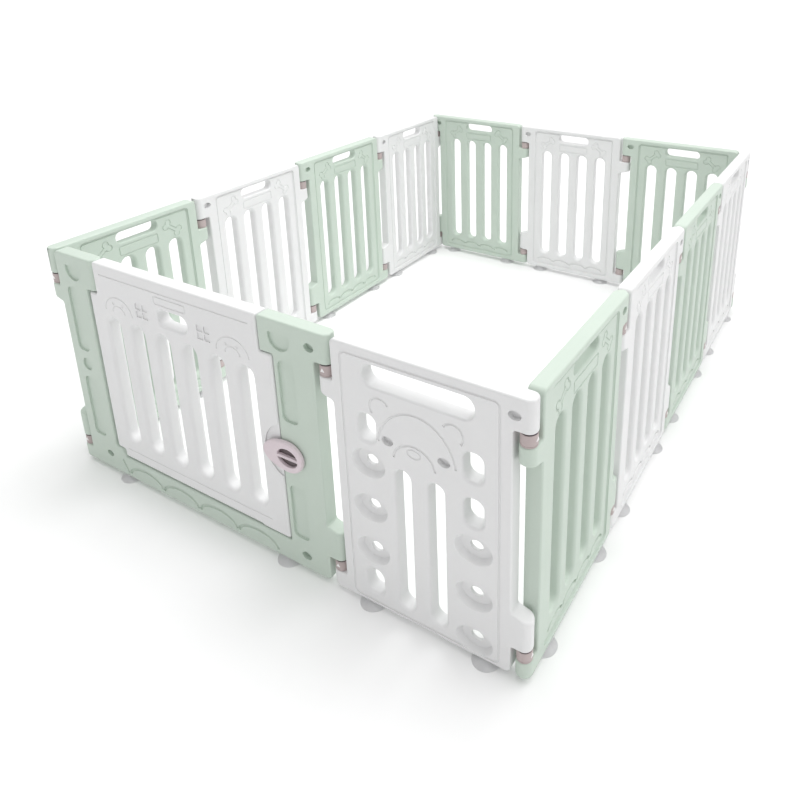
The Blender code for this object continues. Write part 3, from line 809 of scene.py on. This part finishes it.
def latch_knob():
    """The knob on the latch's axis: an egg with two finger hollows beside a grip."""
    thickness, hollow_depth, grip_half, beyond = 0.0115, 0.0075, 0.0034, 0.1
    front = KNOB_BACK - thickness
    knob = egg("knob", 0.067, 0.042, 0.036, front, KNOB_BACK)
    soft_edges(knob, 0.0042, 5, 60)
    hollows = []
    for low, high in ((-beyond, grip_half), (-grip_half, beyond)):
        hollow = egg("hollow", 0.029, 0.027, 0.0215, front - 0.004, front + hollow_depth, HOLLOW_X)
        spare = block("spare", (-beyond, -beyond, low), (beyond, beyond, high))
        hollows.append(combined(hollow, [spare], "DIFFERENCE"))
    combined(knob, [gathered("hollows", hollows)], "DIFFERENCE")
    soft_edges(knob, 0.0010, 2, 50)
    spindle = drum("spindle", (0, -0.002, 0), 0.009, THICKNESS - 0.004, "Y", 48)
    combined(knob, [spindle], "UNION")
    return shaded(knob, 50)


def latch_floor():
    """The darker insert at the bottom of the finger hollows."""
    floor, ridge_half = KNOB_BACK - 0.0040, 0.0030
    insert = egg("insert", 0.0285, 0.0265, 0.0210, floor - 0.0012, floor + 0.0005, HOLLOW_X)
    ridge = block("ridge", (-0.028, floor - PAST, -ridge_half), (0.031, floor + PAST, ridge_half))
    combined(insert, [ridge], "DIFFERENCE")
    soft_edges(insert, 0.0003, 1)
    return shaded(insert)


def latch_cap():
    """The retaining cap on the inner face, with a coin slot."""
    start, thickness = HALF_THICKNESS + 0.0003, 0.005
    slot_half, slot_rise, slot_floor = 0.0125, 0.0013, start + 0.0032
    cap = drum("cap", (0, start + thickness / 2, 0), 0.020, thickness, "Y", 64)
    soft_edges(cap, 0.0016, 4)
    low, high = (-slot_half, slot_floor, -slot_rise), (slot_half, start + PAST, slot_rise)
    combined(cap, [block("coin slot", low, high)], "DIFFERENCE")
    return shaded(cap)


def foot():
    """A suction cup about the Z axis: a neck, a bell and a thin rim, hollow underneath."""
    rim_radius = 0.0300
    # Each ring's radius and height, outside from the rim up and underneath from the rim in.
    profile = [
        (0.0300, 0.0010), (0.0285, 0.0020), (0.0240, 0.0040), (0.0185, 0.0072), (0.0135, 0.0100),
        (0.0122, 0.0118), (0.0122, 0.0149), (0.0, 0.0149),
    ]
    hollow = [(0.0285, 0.0004), (0.0225, 0.0022), (0.0160, 0.0048), (0.0090, 0.0062), (0.0, 0.0066)]
    bpy.ops.object.select_all(action="DESELECT")
    bpy.ops.mesh.primitive_circle_add(vertices=40, radius=rim_radius, fill_type="NOTHING")
    cup = bpy.context.object

    def raise_rings(steps):
        radius, height = rim_radius, 0.0
        for next_radius, next_height in steps:
            bpy.ops.mesh.extrude_region_move(
                TRANSFORM_OT_translate={"value": (0, 0, next_height - height)}
            )
            share = next_radius / radius if next_radius else 0.0
            bpy.ops.transform.resize(value=(share, share, 1), center_override=(0, 0, next_height))
            radius, height = next_radius, next_height

    in_edit(cup)
    bpy.ops.mesh.select_all(action="SELECT")
    raise_rings(profile)
    choose(cup, "EDGE", lambda middle, along: near(middle.z, 0.0) and near(along.z, 0.0))
    raise_rings(hollow)
    bpy.ops.mesh.select_all(action="SELECT")
    bpy.ops.mesh.remove_doubles(threshold=1e-5)
    bpy.ops.mesh.normals_make_consistent(inside=False)
    out_of_edit()
    smooth = cup.modifiers.new("smooth", "SUBSURF")
    smooth.levels = 1
    smooth.render_levels = 1
    only(cup)
    bpy.ops.object.modifier_apply(modifier=smooth.name)
    return shaded(cup, 60)


# Finishes.


class Signal:
    """One output socket of a shader, on which Python's operators add Math nodes."""

    def __init__(self, tree, output):
        self.tree = tree
        self.output = output

    def made(self, kind, settings=None, feeds=None, output=0):
        """Adds a node of any type, sets it up, feeds its inputs, and returns one of its outputs."""
        node = self.tree.nodes.new(kind)
        for name, value in (settings or {}).items():
            setattr(node, name, value)
        for name, value in (feeds or {}).items():
            socket = node.inputs[name]
            if isinstance(value, Signal):
                self.tree.links.new(value.output, socket)
            else:
                socket.default_value = value
        return Signal(self.tree, node.outputs[output])

    def _math(self, operation, one, two):
        return self.made("ShaderNodeMath", {"operation": operation}, {0: one, 1: two})

    def __add__(self, other):
        return self._math("ADD", self, other)

    __radd__ = __add__

    def __mul__(self, other):
        return self._math("MULTIPLY", self, other)

    __rmul__ = __mul__


def noise(place, scale, detail=2.0, roughness=0.5):
    return place.made(
        "ShaderNodeTexNoise",
        {"noise_dimensions": "3D"},
        {"Vector": place, "Scale": scale, "Detail": detail, "Roughness": roughness},
    )


def between(signal, low, high):
    """Rises smoothly from 0 at a low value to 1 at a high one."""
    return signal.made(
        "ShaderNodeMapRange",
        {"clamp": True, "interpolation_type": "SMOOTHSTEP"},
        {"Value": signal, "From Min": low, "From Max": high, "To Min": 0.0, "To Max": 1.0},
    )


def blended(factor, one, two):
    """A mix of two colours, of which the first may be a signal."""
    factor_in, one_in, two_in = 0, 6, 7
    return factor.made(
        "ShaderNodeMix",
        {"data_type": "RGBA"},
        {factor_in: factor, one_in: (*one, 1.0) if isinstance(one, tuple) else one, two_in: (*two, 1.0)},
        output=2,
    )


def new_finish(name):
    """A new material with its shader and its place signal, the object's own coordinates."""
    material = bpy.data.materials.new(name)
    material.use_nodes = True
    tree = material.node_tree
    place = Signal(tree, tree.nodes.new("ShaderNodeTexCoord").outputs["Object"])
    return material, tree.nodes["Principled BSDF"], place


def drive(shader, **signals):
    """Feeds signals into the shader's sockets. A socket's name has _ where it has a space."""
    for name, signal in signals.items():
        signal.tree.links.new(signal.output, shader.inputs[name.replace("_", " ")])


def steady(shader, **values):
    """Sets the shader's sockets that don't vary."""
    for name, value in values.items():
        shader.inputs[name.replace("_", " ")].default_value = value


def bumps(height, strength):
    return height.made(
        "ShaderNodeBump", None, {"Strength": strength, "Distance": 1.0, "Height": height}
    )


def moulded_plastic(name, colour, shade, roughness):
    """Satin polyethylene: a fine grain, long soft waves of the shell, and faint scuffs."""
    material, shader, place = new_finish(name)
    cloudy = between(noise(place, 7.0, 3.0), 0.35, 0.65)
    mottled = between(noise(place, 160.0, 3.0), 0.30, 0.70)
    scuffs = between(noise(place, 46.0, 8.0, 0.72), 0.60, 0.72)
    tone = blended(cloudy * 0.6 + mottled * 0.4, colour, shade)
    worn = tuple(min(1.0, value * 1.03) for value in colour)
    waves_height = noise(place, 9.0, 1.0) * 0.0011
    grain = noise(place, 950.0) * 0.00010
    speckle = noise(place, 300.0) * 0.00006
    drive(
        shader,
        Base_Color=blended(scuffs * 0.5, tone, worn),
        Roughness=roughness + cloudy * 0.04 + mottled * 0.03 + scuffs * 0.06,
        Normal=bumps(grain + waves_height + speckle, 0.12),
    )
    steady(shader, IOR=1.50, Specular_IOR_Level=0.42)
    return material


def clear_vinyl(name):
    """Milky soft vinyl of the suction cups, with a faint white glow that is painted light."""
    material, shader, place = new_finish(name)
    cloudy = between(noise(place, 120.0, 3.0), 0.35, 0.65)
    drive(
        shader,
        Base_Color=blended(cloudy, (0.90, 0.90, 0.905), (0.85, 0.85, 0.86)),
        Roughness=0.30 + cloudy * 0.10,
        Normal=bumps(noise(place, 500.0) * 0.0002, 0.2),
    )
    steady(shader, Transmission_Weight=0.70, IOR=1.45)
    # A faint white glow: painted light that lifts the cups out of the shade under the panels.
    steady(shader, Emission_Color=(1.0, 1.0, 1.0, 1.0), Emission_Strength=0.03)
    return material


def drawn_steel(name):
    """Bright steel with fine streaks along the Z axis."""
    material, shader, place = new_finish(name)
    streaks = place.made(
        "ShaderNodeMapping", {"vector_type": "POINT"}, {"Vector": place, "Scale": (900.0, 900.0, 12.0)}
    )
    drawn = between(noise(streaks, 1.0), 0.3, 0.7)
    drive(
        shader,
        Base_Color=blended(drawn, (0.60, 0.60, 0.61), (0.48, 0.48, 0.50)),
        Roughness=0.26 + drawn * 0.14,
    )
    steady(shader, Metallic=1.0)
    return material


SAGE = moulded_plastic("sage polyethylene", (0.552, 0.632, 0.560), (0.537, 0.618, 0.546), 0.40)
WHITE = moulded_plastic("white polyethylene", (0.770, 0.770, 0.772), (0.755, 0.755, 0.758), 0.38)
MAUVE = moulded_plastic("mauve hinge plastic", (0.49, 0.41, 0.405), (0.46, 0.385, 0.38), 0.36)
KNOB_MAUVE = moulded_plastic("mauve knob plastic", (0.70, 0.61, 0.645), (0.67, 0.58, 0.615), 0.30)
# Dark mauve of the latch insert, also used for the painted shadow of the gap above each collar.
DARK_MAUVE = moulded_plastic("dark mauve insert and painted gap shadow", (0.105, 0.080, 0.085), (0.095, 0.072, 0.077), 0.40)
PALE_MARK = moulded_plastic("pale triangle", (0.90, 0.88, 0.88), (0.86, 0.84, 0.84), 0.38)
VINYL = clear_vinyl("milky vinyl with painted glow")
STEEL = drawn_steel("drawn steel")


# Placing.


def placed_copy(source, name, matrix, material, body, replaced=None):
    """A copy with its own mesh, turned and moved to its place, which rides on a body."""
    piece = source.copy()
    piece.data = source.data.copy()
    piece.name = name
    piece.data.name = name
    bpy.context.scene.collection.objects.link(piece)
    piece.matrix_world = matrix
    settled(piece)
    piece.data.materials.clear()
    piece.data.materials.append(material)
    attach(piece, body)
    if replaced:
        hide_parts(replaced)


def panels_in_order():
    """(name, matrix from the panel's own frame, width in pitches), anticlockwise from the gate."""
    sides = (
        (0, ["gate_frame", "activity_panel"]),
        (90, [f"fence_right_{i}" for i in (1, 2, 3, 4)]),
        (180, [f"fence_back_{i}" for i in (3, 2, 1)]),
        (270, [f"fence_left_{i}" for i in (4, 3, 2, 1)]),
    )
    start = Vector((gate_axis.x, gate_axis.y, 0.0))
    order = []
    for heading, names in sides:
        turn = Matrix.Rotation(math.radians(heading), 4, "Z")
        for name in names:
            pitches = 2 if name == "gate_frame" else 1
            order.append((name, Matrix.Translation(start) @ turn, pitches))
            start = start + turn @ Vector((pitches * PITCH, 0, 0))
    return order


def build_pen():
    """Makes each moulding once, places its copies, and gives the bare gate pivots their finish."""
    fence, activity = fence_panel(), activity_panel()
    gate, leaf = gate_frame(), gate_leaf()
    bush, mark, ring, cup = collar(), collar_mark(), painted_gap_shadow(), foot()
    knob, insert, cap = latch_knob(), latch_floor(), latch_cap()
    models = [fence, activity, gate, leaf, bush, mark, ring, cup, knob, insert, cap]
    for name, matrix, pitches in panels_in_order():
        number = int(name[-1]) if name[-1].isdigit() else 0
        green = name == "gate_frame" or number % 2 == 1
        source = {"gate_frame": gate, "activity_panel": activity}.get(name, fence)
        finish, slot = (SAGE, "sage_plastic") if green else (WHITE, "white_plastic")
        placed_copy(source, f"{name}_moulding", matrix, finish, name, name)
        for station, seat in (("upper", UPPER_SEAT), ("lower", LOWER_SEAT)):
            up = matrix @ Matrix.Translation((0, 0, seat))
            node = f"collar_{station}_{name}"
            placed_copy(bush, f"{node}_bush", up, MAUVE, name, node)
            placed_copy(mark, f"{node}_mark", up, PALE_MARK, name)
            # A dark ring in the gap above the collar: painted shadow.
            placed_copy(ring, f"{node}_washer", up, DARK_MAUVE, name)
        inset = GATE_FOOT_INSET if name == "gate_frame" else FOOT_INSET
        for end, x in (("left", inset), ("right", pitches * PITCH - inset)):
            under = matrix @ Matrix.Translation((x, 0, 0))
            placed_copy(cup, f"foot_{end}_{name}", under, VINYL, name)
        if name == "gate_frame":
            swinging, latch = "gate_leaf", "latch_knob"
            placed_copy(leaf, "gate_leaf_moulding", matrix, WHITE, swinging, swinging)
            hub = matrix @ Matrix.Translation((LATCH_X, 0, LATCH_Z))
            placed_copy(knob, "latch_knob_moulding", hub, KNOB_MAUVE, latch, latch)
            placed_copy(insert, "latch_knob_insert", hub, DARK_MAUVE, latch)
            placed_copy(cap, "latch_cap", hub, KNOB_MAUVE, latch, "latch_retainer")
    for model in models:
        bpy.data.objects.remove(model, do_unlink=True)
    for node in ("gate_pivot_top", "gate_pivot_bottom"):
        pin = frame["nodes"][node]
        pin.data.materials.clear()
        pin.data.materials.append(STEEL)


build_pen()


# Studio.


def linked(name, data):
    obj = bpy.data.objects.new(name, data)
    bpy.context.scene.collection.objects.link(obj)
    return obj


def floor():
    """A plain pale floor that reaches past the view."""
    bpy.ops.object.select_all(action="DESELECT")
    bpy.ops.mesh.primitive_plane_add(size=60.0, location=(0, 0, 0))
    ground = bpy.context.object
    ground.name = "floor"
    paper = bpy.data.materials.new("white paper")
    paper.use_nodes = True
    shader = paper.node_tree.nodes["Principled BSDF"]
    steady(shader, Base_Color=(0.96, 0.96, 0.96, 1.0), Roughness=0.9, Specular_IOR_Level=0.1)
    ground.data.materials.append(paper)


def studio():
    """A white room, which is brighter to the camera than as a light, with soft lamps above."""
    room_light, room_white = 0.62, 1.0
    world = bpy.data.worlds.new("studio")
    bpy.context.scene.world = world
    world.use_nodes = True
    tree = world.node_tree
    background = tree.nodes["Background"]
    steady(background, Color=(1.0, 1.0, 1.0, 1.0))
    seen = Signal(tree, tree.nodes.new("ShaderNodeLightPath").outputs["Is Camera Ray"])
    drive(background, Strength=seen * (room_white - room_light) + room_light)

    # Name, direction towards the lamp, strength, and spread in degrees.
    lamps = (("key", (0.5, 0.15, 1.0), 1.26, 70.0), ("fill", (-0.2, 0.6, 1.0), 0.65, 90.0))
    for name, source, strength, spread in lamps:
        lamp = bpy.data.lights.new(name, "SUN")
        lamp.energy = strength
        lamp.angle = math.radians(spread)
        linked(name, lamp).rotation_euler = Vector(source).to_track_quat("Z", "Y").to_euler()
    softbox = bpy.data.lights.new("softbox", "AREA")
    softbox.shape = "SQUARE"
    softbox.size = 1.2
    softbox.energy = 11.0
    linked("softbox", softbox).location = (0.0, 0.0, 1.9)
    bpy.context.scene.view_settings.view_transform = "Standard"


def camera():
    """The view over the corner between the activity panel and the right side."""
    lens = bpy.data.cameras.new("camera")
    lens.sensor_width = 36.0
    lens.lens = 33.17
    lens.shift_x, lens.shift_y = -0.0949, -0.2500
    lens.clip_end = 100.0
    obj = linked("camera", lens)
    obj.location = (1.0844, -1.7867, 1.2929)
    turn, down, roll = math.radians(30.15), math.radians(18.71), math.radians(-0.32)
    obj.rotation_euler = (
        Matrix.Rotation(turn, 3, "Z")
        @ Matrix.Rotation(math.pi / 2 - down, 3, "X")
        @ Matrix.Rotation(roll, 3, "Z")
    ).to_euler()
    bpy.context.scene.camera = obj


floor()
studio()
camera()


def write_sizes():
    """Imports json and does nothing else."""
    import json


write_sizes()
